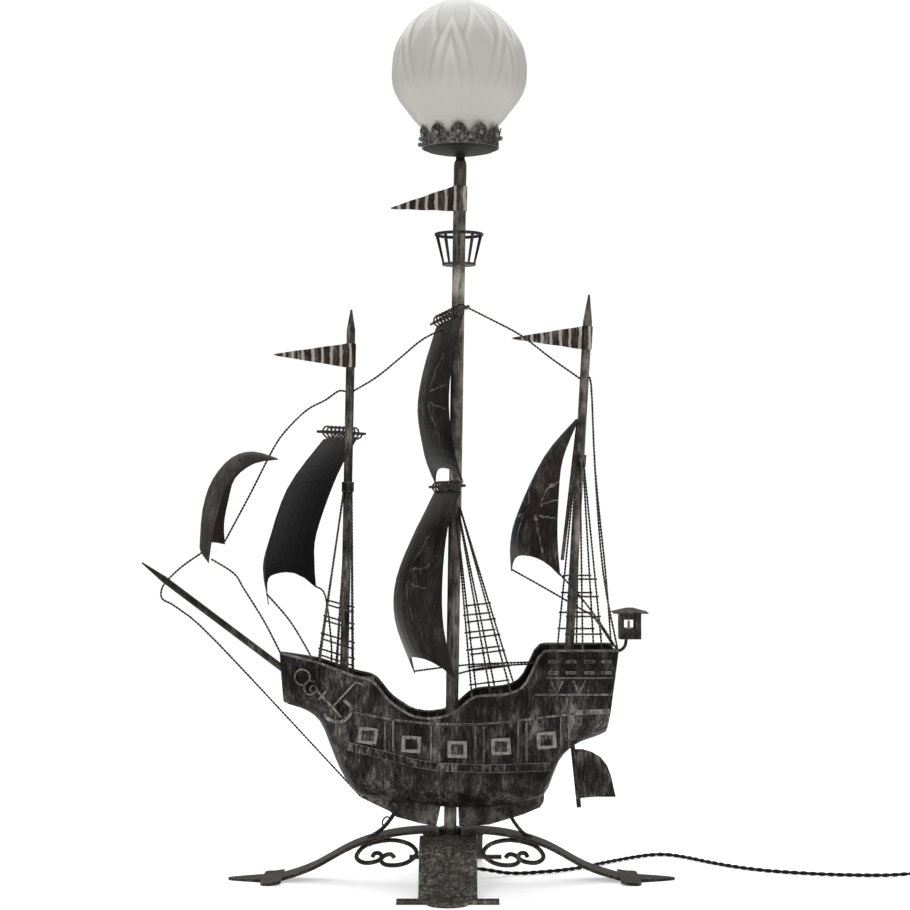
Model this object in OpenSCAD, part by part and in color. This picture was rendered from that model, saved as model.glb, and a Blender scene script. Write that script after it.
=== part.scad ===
// Galleon table lamp in wrought iron: a sailing ship on a four-footed base, with a moulded glass
// globe on top of its main mast. Millimetres, +Z up, bow towards -X, port side towards -Y.
// The mast foot stands at mast_x, which centres the lamp's box on the origin.

/* [Part] */
// Node to draw

/* [Mast and wire] */
// Outside diameter of the main mast, which is the lamp's tube
tube_d = 14; // [13:0.5:15]
// Wall of the main mast
tube_wall = 1.2; // [1:0.1:1.6]
// Diameter of the twisted wire used for the rigging
rope_d = 2; // [1.6:0.1:2.4]
// Diameter of the rod that the yards are made of
yard_d = 5; // [4:0.5:5.5]

/* [Ship] */
// Half breadth of the hull at the stern castle
beam_half = 48; // [44:1:52]
// Thickness of the hull and deck sheet
plate = 1.2; // [1:0.1:1.6]
// Thickness of the sail sheet
sail_t = 1; // [0.8:0.1:1.2]

/* [Base] */
// Width of the two side legs
side_leg_w = 33; // [28:1:38]
// Width of the front and back legs
front_leg_w = 62; // [56:1:66]
// Thickness of the leg iron
leg_t = 4; // [3:0.5:5]

/* [Lamp fittings] */
// Outside diameter of the glass globe
globe_d = 150; // [146:1:152]
// Wall of the glass globe
glass_t = 3.5; // [3:0.5:4]
// Diameter of the mains flex
cord_d = 4.6; // [4:0.2:5]

/* [Hidden] */
$fn = 48;
mast_x = 46;

iron = [0.12, 0.11, 0.10];
bronze = [0.20, 0.17, 0.14];
silver = [0.45, 0.43, 0.41];
rust = [0.22, 0.12, 0.10];
glass = [0.82, 0.82, 0.80, 0.6];
black = [0.03, 0.03, 0.03];
brass = [0.72, 0.56, 0.28];
white = [0.92, 0.91, 0.88];

// Main mast: its axis rakes aft from the base to the neck under the gallery.
mast_foot = [-0.1, 0, 42];
mast_top = [11.3, 0, 790];
tube_r = tube_d / 2;
gallery_x = 11.4;
gallery_z = 799;

// Fore and mizzen masts, foot and tip of each axis.
fore_foot = [-116.6, 0, 222.6];
fore_tip = [-108.5, 0, 627.5];
fore_r = 4.75;
mizzen_foot = [130.3, 0, 240];
mizzen_tip = [153, 0, 644];
mizzen_r = 5;
bowsprit_foot = [-183, 0, 231.8];
bowsprit_tip = [-339, 0, 349.1];
rope_r = rope_d / 2;
rung_r = 0.8;

// Hull outlines: height of the rail, underside and breadth along the ship.
rail_line = [[-187, 250], [-146, 242], [-104, 227], [-85, 223], [-77, 215], [-70, 204], [-62, 197],
    [-42, 184], [-23, 181], [-4, 184], [10, 192], [22, 204], [32, 207], [55, 208], [70, 211],
    [81, 218], [88, 231], [93, 245], [99, 256], [185, 256]];
bottom_line = [[-187, 199], [-180, 194], [-162, 189], [-149, 182], [-140, 172], [-134, 156],
    [-128, 139], [-119, 118], [-110, 105], [-100, 93], [-57, 87], [0, 81], [40, 81], [70, 84],
    [103, 92], [110, 107], [114, 122], [121, 136], [134, 148], [143, 153], [164, 160], [173, 165]];
breadth_line = [[-187, 5], [-178, 10], [-165, 16], [-150, 21.5], [-130, 26.5], [-100, 31], [-70, 33],
    [-30, 34.5], [0, 37], [30, 42], [60, 46], [100, 48], [150, 47.5], [185, 46]];
bow_x = -187;
bow_keel_x = -183;
stern_x = 182;
stern_keel_x = 170;
turn_h = 36;
stations = 62;
section_steps = 11;

lantern_x = 197.6;

// Decks.
deck_fore_z = 222;
deck_waist_z = 168;
deck_poop_z = 240;
fore_bulkhead_x = -84;
poop_bulkhead_x = 96;

// Wales, ports and pilasters, along the ship.
upper_wale = [[-104, 187], [-60, 179], [-20, 175], [20, 175], [60, 178], [104, 184], [150, 189]];
lower_wale = [[-112, 147], [-73, 138], [-40, 129], [-14, 125], [39, 124], [104, 127]];
port_w = 21;
port_h = 18;
port_x = [-89, -42, 8, 55, 104];
port_z = [163, 154, 149, 153, 160];
pilaster_x = [-66, -16, 32, 78, 124];

// Gap that the brazing fills under the hull's strips and flaps.
seat = 0.25;

// Base.
hub_z = 57;
foot_x = 247.5;
foot_y = 147;
back_leg_shift = 6;

// Globe fittings.
crown_r = 41;
globe_z = 893;
globe_x = gallery_x - 1.6;
neck_r = 38;
lobes = 11;
rivet_z = 816.5;
lobe_r = 9.5;
lobe_gap_x = 12.4;
screw_z = 811;
screw_r = 1.5;

// Mains flex, laid by hand from the tube's foot to the coil.
cord_r = cord_d / 2;
cord_route = [[0, 0, 30], [0.5, 0, 24], [5, 1, 17], [16, 3, 12.5], [32, 8, 10.5], [46, 14, 7.5],
    [60, 20, 4], [74, 25, 2.4], [90, 28, 2.4], [124, 42, 2.4], [152, 62, 2.4], [180, 90, 2.4],
    [212, 119, 2.4], [236, 135, 2.4], [256, 135, 2.4], [276, 117, 2.4], [298, 89, 2.4],
    [324, 62, 2.4], [356, 40, 2.4], [400, 24, 2.4], [440, 16, 2.4], [480, 14, 2.4], [510, 14, 4],
    [524, 14, 5], [550, 14, 5], [576, 14, 5], [594, 14, 3], [618, 14, 2.4]];
switch_x = 550;
switch_y = 14;
switch_l = 54;
switch_w = 20;
switch_h = 13;
rocker_r = 9.5;
rocker_tilt = 8;
coil_x = 618;
coil_r = 24;
coil_w = 3 * cord_d;
coil_h = 3 * cord_d;
coil_y = 14 + coil_r + cord_d;
plug_x = coil_x + coil_r;
plug_y = coil_y + 6;
plug_h = 13;
pin_gap = 18.6;

// ---------- functions ----------

function lobe_angle(i) = -92.7 + i * 360 / lobes;

function screw_angle(i) = -76.3 + i * 120;

function unit(v) = v / norm(v);

function between(a, b, t) = a + (b - a) * t;

// Point on the main, fore or mizzen mast's axis at a height.
function mast_at(foot, tip, z) = between(foot, tip, (z - foot[2]) / (tip[2] - foot[2]));

// Catmull-Rom point between p1 and p2.
function spline(p0, p1, p2, p3, t) = 0.5 * (2 * p1 + (p2 - p0) * t
    + (2 * p0 - 5 * p1 + 4 * p2 - p3) * t * t + (3 * p1 - p0 - 3 * p2 + p3) * t * t * t);

// Smooth curve through points, with n steps for each gap.
function smooth(p, n) = let(last = len(p) - 1) [
    for (i = [0 : last - 1])
        for (j = [0 : n - 1])
            spline(p[max(i - 1, 0)], p[i], p[i + 1], p[min(i + 2, last)], j / n),
    p[last]];

// Ring of points round p, square to direction d.
function ring(p, d, r, hint, n) = let(a = unit(cross(d, hint)), b = cross(a, d)) [
    for (k = [0 : n - 1])
        p + r * (cos(k * 360 / n) * a + sin(k * 360 / n) * b)];

// Smooth table lookup along the ship: the mean of three nearby values.
function along(table, x) = (lookup(x - 4, table) + lookup(x, table) + lookup(x + 4, table)) / 3;

// Half breadth of the hull at a station, scaled by the stern castle's.
function breadth(x) = along(breadth_line, x) * beam_half / 48;

// ---------- general shapes ----------

module placed() {
    translate([mast_x, 0, 0]) children();
}

module both_sides() {
    children();
    mirror([0, 1, 0]) children();
}

// Round rod from a to b.
module rod(a, b, r1, r2) {
    d = b - a;
    translate(a)
        rotate([0, acos(d[2] / norm(d)), atan2(d[1], d[0])])
            cylinder(h = norm(d), r1 = r1, r2 = r2);
}

// Wire swept along points. No stretch may run along hint.
module wire(p, r, hint = [0, 1, 0], n = 8) {
    last = len(p) - 1;
    points = [for (i = [0 : last])
        each ring(p[i], unit(p[min(i + 1, last)] - p[max(i - 1, 0)]), r, hint, n)];
    walls = [for (i = [0 : last - 1])
        for (k = [0 : n - 1])
            let(m = (k + 1) % n)
                each [[i * n + k, (i + 1) * n + m, (i + 1) * n + k],
                    [i * n + k, i * n + m, (i + 1) * n + m]]];
    polyhedron(points, concat(walls, [[for (k = [n - 1 : -1 : 0]) k]],
        [[for (k = [0 : n - 1]) last * n + k]]));
}

// Closed sheet between two grids of points with the same rows and columns.
module sheet(front, back) {
    rows = len(front);
    cols = len(front[0]);
    back_at = rows * cols;
    points = concat([for (row = front) each row], [for (row = back) each row]);
    faces = [for (i = [0 : rows - 2])
        for (j = [0 : cols - 2])
            let(a = i * cols + j, b = a + 1, c = a + cols, d = c + 1)
                each [[a, b, d], [a, d, c], [back_at + a, back_at + d, back_at + b],
                    [back_at + a, back_at + c, back_at + d]]];
    ends = [for (j = [0 : cols - 2])
        let(a = j, b = j + 1, c = (rows - 1) * cols + j, d = c + 1)
            each [[a, back_at + b, b], [a, back_at + a, back_at + b],
                [c, d, back_at + d], [c, back_at + d, back_at + c]]];
    sides = [for (i = [0 : rows - 2])
        let(a = i * cols, c = a + cols, b = a + cols - 1, d = c + cols - 1)
            each [[a, c, back_at + c], [a, back_at + c, back_at + a],
                [b, back_at + d, d], [b, back_at + b, back_at + d]]];
    polyhedron(points, concat(faces, ends, sides));
}

// Bent sheet-iron sail through a near, a middle and a far curve, each running from head to foot.
// Its foot arches up by arch between pointed corners.
module sail(near, middle, far, arch, steps = 4, cols = 10, inward = [1, 0, 0]) {
    a = smooth(near, steps);
    m = smooth(middle, steps);
    b = smooth(far, steps);
    last = len(a) - 1;
    front = [for (i = [0 : last])
        [for (j = [0 : cols])
            let(s = j / cols, v = i / last, corner = pow(abs(2 * s - 1), 3))
                a[i] * (1 - s) * (1 - 2 * s) + m[i] * 4 * s * (1 - s) + b[i] * s * (2 * s - 1)
                    + [0, 0, arch * (1 - corner) * pow(v, 4)]]];
    back = [for (row = front) [for (p = row) p + sail_t * inward]];
    sheet(back, front);
}

// ---------- base ----------

// Side view of a leg from the hub down to its foot, along +X from the mast.
function leg_curve(hub, foot, tip) = concat(
    smooth([[12, hub_z - 1], [30, hub_z + 0.5], [hub + 34, hub_z - 4], [hub + 73, hub_z - 16],
        [hub + 116, 18], [foot - 14, 7], [foot, leg_t]], 5),
    [[tip, leg_t * 0.8]]);

module leg(hub, foot, tip, w, bar, bar_w, tongue) {
    top = leg_curve(hub, foot, tip);
    under = [for (i = [len(top) - 1 : -1 : 0])
        let(a = top[max(i - 1, 0)], b = top[min(i + 1, len(top) - 1)], d = unit(b - a))
            [top[i][0] + d[1] * leg_t, max(0, top[i][1] - d[0] * leg_t)]];
    intersection() {
        rotate([90, 0, 0])
            linear_extrude(height = 2 * bar, center = true)
                polygon(concat(top, under));
        translate([0, 0, -1])
            linear_extrude(height = hub_z + 20)
                union() {
                    translate([0, -w / 2])
                        square([foot, w]);
                    polygon([[foot - bar_w / 2, -bar + 4], [foot - bar_w / 2 + 4, -bar],
                        [foot + bar_w / 2 - 3, -bar], [foot + bar_w / 2, -bar + 5],
                        [foot + bar_w / 2, bar - 5], [foot + bar_w / 2 - 3, bar],
                        [foot - bar_w / 2 + 4, bar], [foot - bar_w / 2, bar - 4]]);
                    polygon(concat([[foot - 1, -tongue]],
                        [for (a = [-90 : 15 : 90])
                            [foot + (tip - foot) * pow(cos(a), 0.9),
                                tongue * sin(a) * (1 - 0.55 * cos(a))]],
                        [[foot - 1, tongue]]));
                }
    }
}

module leg_fore() {
    color(bronze) placed()
        mirror([1, 0, 0]) leg(34, 195, 244, side_leg_w, 34, 22, 17);
}

module leg_aft() {
    color(bronze) placed()
        leg(34, 197, foot_x, side_leg_w, 34, 22, 17);
}

module short_leg(tip_y) {
    curve = smooth([[12, hub_z - 6], [30, hub_z - 6], [62, 44], [88, 27], [108, 10], [122, leg_t]], 5);
    top = concat(curve, [[tip_y, leg_t * 0.7]]);
    under = [for (i = [len(top) - 1 : -1 : 0])
        let(a = top[max(i - 1, 0)], b = top[min(i + 1, len(top) - 1)], d = unit(b - a))
            [top[i][0] + d[1] * leg_t, max(0, top[i][1] - d[0] * leg_t)]];
    intersection() {
        rotate([90, 0, 0])
            linear_extrude(height = 140, center = true)
                polygon(concat(top, under));
        translate([0, 0, -1])
            linear_extrude(height = hub_z + 20)
                union() {
                    translate([0, -front_leg_w / 2])
                        square([122, front_leg_w]);
                    translate([120, -53.5])
                        square([10, 107]);
                    polygon(concat([[121, -22]],
                        [for (a = [-90 : 15 : 90]) [128 + (tip_y - 128) * cos(a), 22 * sin(a)]],
                        [[121, 22]]));
                }
    }
}

module leg_front() {
    color(bronze) placed()
        translate([-2, 0, 0]) rotate([0, 0, -90]) short_leg(foot_y);
}

module leg_back() {
    color(bronze) placed()
        translate([back_leg_shift, 0, 0]) rotate([0, 0, 90]) short_leg(foot_y);
}

// Boss that the four legs are brazed to, with a collar round the mast tube.
module hub() {
    color(bronze) placed() difference() {
        union() {
            translate([0, 0, 46]) cylinder(h = 5, r = 30);
            translate([0, 0, 51]) cylinder(h = 7, r = 12);
        }
        translate([0, 0, 40]) cylinder(h = 30, r = tube_r + 0.3);
    }
}

module hub_nut() {
    color(silver) placed()
        translate([0, 0, 40]) difference() {
            cylinder(h = 6, r = 13, $fn = 6);
            translate([0, 0, -1]) cylinder(h = 8, r = tube_r + 0.2);
        }
}

// C-scroll of round iron under a side leg: one wide arch with both ends curled in side by side.
function scroll_curve() = smooth([[85, -12.5, 27.5], [82.5, -12.5, 31.5], [77, -12.5, 31.5],
    [74.8, -12, 27], [80.4, -11, 22.6], [91.6, -10, 20.6], [100, -9, 23.1], [102.2, -9, 29.5],
    [91.6, -9, 40], [66.4, -8, 45.4], [45.3, -8, 41.3], [36.3, -8, 31.5], [44, -8, 22.3],
    [56.5, -7, 17.8], [70.6, -6.5, 18], [75.9, -6, 22.8], [72, -6, 27.8], [65, -6, 29.4],
    [60.8, -6, 25.5]], 3);

module scrolls() {
    color(bronze) placed() {
        wire(scroll_curve(), 2.5, [0, 1, 0], 7);
        mirror([1, 0, 0]) wire(scroll_curve(), 2.5, [0, 1, 0], 7);
    }
}

// Forged struts from the side legs up to the keel, the fore one ending in a loop with a leaf.
module struts() {
    color(bronze) placed() {
        wire(smooth([[-90, -4, 47], [-76, -6, 56], [-66, -7, 67], [-60, -7, 77], [-59, -7, 83],
            [-63, -7, 86], [-67, -7, 82]], 4), 2.2);
        wire(smooth([[-73, -7, 59], [-74, -9, 66], [-70, -10, 71], [-66, -9, 70]], 4), 0.9);
        wire(smooth([[90, -4, 46.5], [80, -5, 53], [71, -6, 64], [64, -7, 76]], 4), 2);
    }
}

// ---------- hull ----------

// Point on the outer side of the hull: i counts stations aft, j counts steps down the section.
function hull_point(i, j, inset) = let(
    t = i / stations,
    x_top = between(bow_x, stern_x, t),
    x_low = between(bow_keel_x, stern_keel_x, t),
    z_top = along(rail_line, x_top),
    z_low = along(bottom_line, x_low),
    drop = j / section_steps,
    z = between(z_top, z_low, j < 4 ? drop * 1.4 : 1 - pow(1 - (j - 4) / (section_steps - 4), 2) * 0.49),
    x = between(x_top, x_low, (z_top - z) / (z_top - z_low)),
    turn = min(turn_h, 0.45 * (z_top - z_low)),
    keel_y = max(1.6, tube_r + 2.4 - abs(x) * 0.42),
    b = breadth(x) - inset,
    under = max(0, (z_low + turn - z) / turn))
    [x, keel_y + (b - keel_y) * sqrt(max(0, 1 - under * under)), z + inset * under];

module hull_side() {
    outer = [for (i = [0 : stations]) [for (j = [0 : section_steps]) hull_point(i, j, 0)]];
    inner = [for (i = [0 : stations]) [for (j = [0 : section_steps]) hull_point(i, j, plate)]];
    sheet(outer, inner);
}

module hull_starboard() {
    color(iron) placed() hull_side();
}

module hull_port() {
    color(iron) placed() mirror([0, 1, 0]) hull_side();
}

module keel_plates() {
    color(silver) placed() rotate([90, 0, 0]) linear_extrude(height = 3, center = true) {
        polygon([[-98, 91], [-87, 85.5], [-66, 75.5], [-59, 69.5], [-33, 62.5], [-15, 59], [-10, 82],
            [-50, 92], [-94, 97]]);
        polygon([[10, 59], [43, 61], [80, 72], [99, 80], [103, 86], [104, 96], [60, 90], [8.5, 86]]);
    }
}

// Flat stern plate, rounded at the bottom to lie inside the hull's turn.
module transom() {
    side = beam_half - 4;
    half = [[15, -43.5], [25, -40.5], [34, -35.5], [40.5, -28], [side, -19], [side, 44]];
    color(iron) placed()
        translate([between(stern_keel_x, stern_x, 0.5) - 1.2, 0, 210.5])
            rotate([0, 7.6, 0]) rotate([90, 0, 90]) linear_extrude(height = plate, center = true)
                polygon(concat(half, [for (i = [len(half) - 1 : -1 : 0]) [-half[i][0], half[i][1]]]));
}

// Flat deck sheet with its bulkhead, following the hull's plan inside the shell.
function deck_outline(x0, x1, n) = concat(
    [for (i = [0 : n]) let(x = between(x0, x1, i / n)) [x, breadth(x) - plate - 0.3]],
    [for (i = [n : -1 : 0]) let(x = between(x0, x1, i / n)) [x, plate + 0.3 - breadth(x)]]);

module deck(x0, x1, z) {
    translate([0, 0, z - plate]) linear_extrude(height = plate) polygon(deck_outline(x0, x1, 12));
}

module deck_fore() {
    color(iron) placed() {
        deck(-176, fore_bulkhead_x, deck_fore_z);
        translate([fore_bulkhead_x - plate, -31, deck_waist_z])
            cube([plate, 62, deck_fore_z - deck_waist_z]);
    }
}

module deck_waist() {
    color(iron) placed() difference() {
        deck(fore_bulkhead_x - plate - 1, poop_bulkhead_x + plate + 1, deck_waist_z - 0.05);
        translate([mast_at(mast_foot, mast_top, deck_waist_z)[0], 0, deck_waist_z - 5])
            cylinder(h = 10, r = tube_r + 0.3);
    }
}

module deck_poop() {
    color(iron) placed() {
        deck(poop_bulkhead_x, 178, deck_poop_z);
        translate([poop_bulkhead_x, -45, deck_waist_z])
            cube([plate, 90, deck_poop_z - deck_waist_z]);
    }
}

// Rounded edging along the top of each side and up the stem.
module rails() {
    color(silver) placed() both_sides()
        wire([for (i = [0 : 60])
            let(x = between(bow_x + 1, stern_x - 1, i / 60))
                [x, 0.2 - breadth(x) + plate / 2, along(rail_line, x)]], 1.5, [0, 1, 0], 6);
}

// Raised strip on the hull's side, between two heights given along the ship.
module strip(x0, x1, table, h, t, n = 16) {
    function row(off, z) = [for (i = [0 : n])
        let(x = between(x0, x1, i / n))
            [x, -breadth(x) - off, lookup(x, table) + z]];
    sheet([row(seat, 0), row(seat, h)], [row(t, 0), row(t, h)]);
}

module wales() {
    color(silver) placed() both_sides() {
        strip(-104, 133.5, upper_wale, 2, 1.1, 24);
        strip(-112, 108, lower_wale, 9, 0.9, 24);
    }
}

// Angle in plan between the hull's side and the keel line.
function swing_at(x) = atan((breadth(x + 12) - breadth(x - 12)) / 24);

// Flap of a gun port, tilted with the sheer of the wale above it.
module gun_port(x, z) {
    slope = atan((lookup(x + 12, upper_wale) - lookup(x - 12, upper_wale)) / 24);
    translate([x, -breadth(x) - 1.2 - seat, z])
        rotate([0, -slope, -swing_at(x)])
            cube([port_w, 2.4, port_h], center = true);
}

module gun_ports() {
    color(silver) placed() both_sides()
        for (i = [0 : len(port_x) - 1])
            gun_port(port_x[i], port_z[i]);
}

module pilasters() {
    color(iron) placed() both_sides()
        for (x = pilaster_x) {
            top = lookup(x, upper_wale) - 1.6;
            low = x > 110 ? 152 : lookup(x, lower_wale) + 10.6;
            for (dx = [-4.5, 4.5])
                strip(x + dx - 0.9, x + dx + 0.9, [[x - 20, low], [x + 20, low]], top - low, 1, 1);
        }
}

// Stern castle: window frames, zigzag band, ledges and the band down the stern edge.
module stern_trim() {
    color(silver) placed() both_sides() {
        for (x = [106, 125, 145, 163]) {
            strip(x, x + 11, [[90, 243], [185, 243]], 3, 1, 2);
            strip(x, x + 11, [[90, 231], [185, 231]], 3, 1, 2);
        }
        strip(104, 176, [[90, 226], [185, 226]], 1.6, 1, 4);
        strip(92, 175, [[90, 208], [185, 208]], 1.8, 1, 4);
        for (x = [115, 139])
            translate([x, -breadth(x) - seat, 210]) rotate([90, 0, -swing_at(x)])
                linear_extrude(height = 1.1)
                    polygon([[-7.5, 13.5], [-5.7, 14], [0, 2.6], [5.7, 14], [7.5, 13.5], [1, 0], [-1, 0]]);
        strip(134, 172, [[130, 187], [185, 189]], 5, 1, 4);
    }
}

// Point on the port side of the hull, lifted off it.
function on_port(x, z, lift) = [x, -breadth(x) - lift, z];

// Closed wire ring flat against the port bow.
module eye(x, z, ring_r, r) {
    translate(on_port(x, z, 2)) rotate([90, 0, 0]) rotate([0, 18, 0])
        rotate_extrude() translate([ring_r, 0]) circle(r = r, $fn = 16);
}

// Anchor bent from wire, hung on the port bow.
module anchor() {
    color(silver) placed() {
        wire([for (t = [-20 : 20 : 300]) on_port(-161 + 8.5 * cos(t), 225 + 8.5 * sin(t), 1.6)], 1.1);
        eye(-151.5, 214, 7.5, 1.1);
        eye(-148.5, 212.5, 3.8, 0.8);
        wire([on_port(-145, 211, 1.7), on_port(-130, 196, 1.8), on_port(-117.8, 182.5, 2.2)], 1.3);
        rod(on_port(-134.5, 210.5, 1.8), on_port(-143, 201, 1.8), 1.15, 1.15);
        wire(smooth([on_port(-136, 186, 2), on_port(-132, 180.5, 2.2), on_port(-118.8, 177.5, 2.4),
            on_port(-109, 184.5, 2.4), on_port(-107.6, 194, 2.2), on_port(-115, 201.5, 1.8)], 4), 2);
        wire(smooth([on_port(-127.3, 194, 3.2), on_port(-115, 207, 2.4), on_port(-103.4, 219.6, 1.5),
            on_port(-99, 220, 1.2), on_port(-93, 217, 1.1)], 3), 0.95);
    }
}

module rudder() {
    color(iron) placed() {
        rod([134.5, 0, 152], [142, 0, 80], 2.6, 2.6);
        rotate([90, 0, 0]) linear_extrude(height = 2, center = true)
            polygon([[137.5, 144], [146, 144], [156, 141], [166, 135], [173, 126], [177.5, 114], [180, 102],
                [182.5, 91.5], [160, 91.5], [142, 90]]);
    }
}

// Stern lantern: a little square house with a low hipped roof on a curved bracket.
module lantern_house() {
    color(bronze) placed() {
        difference() {
            translate([lantern_x, 0, 280]) cube([23.6, 23.6, 29], center = true);
            translate([lantern_x, 0, 280.5]) cube([21.4, 21.4, 28], center = true);
            for (turn = [0, 90])
                translate([lantern_x - (turn == 0 ? 1 : 0), 0, 282])
                    rotate([0, 0, turn]) cube([12, 40, 10], center = true);
        }
        translate([lantern_x, 0, 294]) rotate([0, 0, 45])
            cylinder(h = 1.2, r = 27, $fn = 4);
        translate([lantern_x, 0, 295.1]) rotate([0, 0, 45])
            cylinder(h = 4.5, r1 = 26, r2 = 5, $fn = 4);
        wire(smooth([[181, 0, 254], [187, 0, 252.5], [192.5, 0, 257.5], [194, 0, 266]], 4), 1.8);
    }
}

module lantern_candle() {
    color(white) placed() translate([lantern_x - 1, 0, 0]) {
        translate([0, 0, 266.5]) cylinder(h = 9.5, r = 1.5);
        translate([0, 0, 276]) cylinder(h = 1.4, r = 4.2);
        translate([0, 0, 277.4]) cylinder(h = 8, r = 1.5);
    }
}

// ---------- masts and yards ----------

module mast_tube() {
    color(silver) placed() difference() {
        union() {
            rod(mast_foot, mast_at(mast_foot, mast_top, 786.5), tube_r, tube_r);
            rod(mast_at(mast_foot, mast_top, 786), mast_top, tube_r - 0.02, tube_r - 0.6);
        }
        rod(mast_foot - [0, 0, 5], mast_top + [0, 0, 5], tube_r - tube_wall, tube_r - tube_wall);
    }
}

module pointed_mast(foot, tip, r, taper) {
    shoulder = mast_at(foot, tip, tip[2] - taper);
    color(bronze) placed() {
        rod(foot, shoulder, r, r);
        rod(mast_at(foot, tip, shoulder[2] - 0.6), tip, r - 0.02, 1);
    }
}

module fore_mast() {
    pointed_mast(fore_foot, fore_tip, fore_r, 22);
}

module mizzen_mast() {
    pointed_mast(mizzen_foot, mizzen_tip, mizzen_r, 29);
}

// Collars that the shrouds of the three masts gather at.
module collar(foot, tip, z, h, r) {
    difference() {
        rod(mast_at(foot, tip, z), mast_at(foot, tip, z + h), r + 2, r + 2);
        rod(mast_at(foot, tip, z - 4), mast_at(foot, tip, z + h + 4), r + 0.05, r + 0.05);
    }
}

module mast_collars() {
    color(silver) placed() {
        collar(fore_foot, fore_tip, 427, 11, fore_r);
        collar(mizzen_foot, mizzen_tip, 455, 13, mizzen_r);
    }
}

module crows_nest() {
    c = mast_at(mast_foot, mast_top, 694);
    color(iron) placed() translate([c[0], 0, 0]) {
        translate([0, 0, 710]) rotate_extrude() translate([25.3, 0]) circle(r = 1.8);
        difference() {
            translate([0, 0, 676]) cylinder(h = 2.4, r = 18.5);
            translate([0, 0, 670]) cylinder(h = 12, r = tube_r + 0.4);
        }
        for (i = [0 : 9])
            rotate([0, 0, i * 36 + 18])
                rod([17.5, 0, 677.2], [25.3, 0, 709.5], 1.1, 1.7);
    }
}

// Yard across a mast: turned by swing degrees, with its near end raised by tilt degrees.
function yard_end(c, half, swing, tilt, s) = c + half * s
    * [-sin(swing) * cos(tilt), cos(swing) * cos(tilt), -sin(tilt)];

module yard(c, half, swing, tilt) {
    for (s = [-1, 1])
        rod(c, yard_end(c, half, swing, tilt, s), yard_d / 2, yard_d / 2 - 1);
}

topsail_yard = [-0.8, 0, 621];
course_yard = [-3.6, 0, 433];
fore_yard = [-118.8, 0, 492];
lateen_top = [141, -6, 503];
lateen_low = [121, -46, 354];

module yards() {
    color(iron) placed() {
        yard(topsail_yard, 61, 20, 5);
        yard(course_yard, 57, 20, 1);
        yard(fore_yard, 61, -22, 0);
        rod(lateen_top, lateen_low, yard_d / 2, yard_d / 2 - 0.6);
    }
}

// Loose lashing wound round a yard.
module lashing(c, half, swing, tilt, r, turns) {
    a = yard_end(c, half, swing, tilt, -1);
    b = yard_end(c, half, swing, tilt, 1);
    d = unit(b - a);
    u = unit(cross(d, [0, 0, 1]));
    w = cross(u, d);
    steps = turns * 9;
    wire([for (i = [0 : steps])
        let(q = i * 40)
            between(a, b, i / steps) + r * (cos(q) * u + sin(q) * w)], 1.1, d, 5);
}

module yard_coils() {
    color(silver) placed() {
        lashing(topsail_yard, 40, 20, 5, 6, 8);
        lashing(course_yard, 36, 20, 1, 5.5, 8);
        lashing(fore_yard, 40, -22, 0, 6.5, 8);
    }
}

// ---------- sails ----------

module sail_fore() {
    color(iron) placed()
        sail([[-137, -37, 484], [-176, -43, 430], [-195, -49, 366], [-198.5, -53, 336], [-195, -56, 306]],
            [[-126, 0, 487], [-165, 0, 437], [-191, 0, 374], [-197, 0, 340], [-193, 0, 311]],
            [[-104, 37, 488], [-128, 41, 444], [-151, 46, 380], [-153.5, 51, 345], [-152, 55, 319]],
            26);
}

module sail_course() {
    color(silver) placed()
        sail([[11, -40, 428], [-3, -46, 389], [-9, -52, 331], [-7.5, -57, 281], [4, -62, 229]],
            [[-5, -1, 428], [-32, 0, 388], [-56, 0, 330], [-57, 0, 280], [-40, 0, 228]],
            [[-17, 40, 428], [-36, 46, 386], [-50, 52, 328], [-51, 57, 276], [-40.5, 62, 221]],
            17);
}

module sail_topsail() {
    color(silver) placed()
        sail([[13, -42, 617], [2, -43, 570], [-2, -44, 520], [4, -45, 470], [14, -45, 437]],
            [[-5, 0, 614], [-23, 0, 568], [-31, 0, 518], [-21, 0, 470], [-9, 0, 438]],
            [[-16, 42, 611], [-29, 44, 565], [-35, 45, 515], [-29, 45, 468], [-17, 45, 436]],
            15);
}

module sail_mizzen() {
    color(bronze) placed()
        sail([[140, -9, 506], [122, -21, 462], [117, -29, 418], [115.5, -37, 376], [118, -45, 337]],
            [[138.5, -7, 507], [107, -9, 465], [86, -8, 412], [78, -6, 372], [82, -5, 342]],
            [[138, -6, 507], [104, 4, 466], [75, 15, 404], [67, 26, 370], [68, 35, 338]],
            15);
}

module sail_bow() {
    color(bronze) placed()
        sail([[-190, -4, 463], [-218, -15, 459], [-240, -20, 442], [-250, -22, 418], [-258, -24, 385],
                [-263, -25, 350]],
            [[-190, 0, 464], [-216, 0, 471.5], [-240, 0, 465], [-261, 0, 441], [-272, 0, 408],
                [-274.5, 0, 366]],
            [[-190, 4, 463], [-217, 15, 459], [-239, 20, 443], [-247, 22, 418], [-252, 24, 392],
                [-251, 25, 369]],
            3, 3, 8, [0.7, 0, -0.7]);
}

// Corrugated pennant flying forward from its mast.
module pennant(root, z_low, z_high, tip) {
    steps = 24;
    function row(low, off) = [for (i = [0 : steps])
        let(t = i / steps)
            [between(root[0], tip[0], t), root[1] + off + 2.6 * sin(t * 900) * (1 - 0.5 * t),
                between(low, tip[2] + (low > tip[2] ? 0.8 : -0.8), t)]];
    sheet([row(z_low, -0.5), row(z_high, -0.5)], [row(z_low, 0.5), row(z_high, 0.5)]);
}

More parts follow.
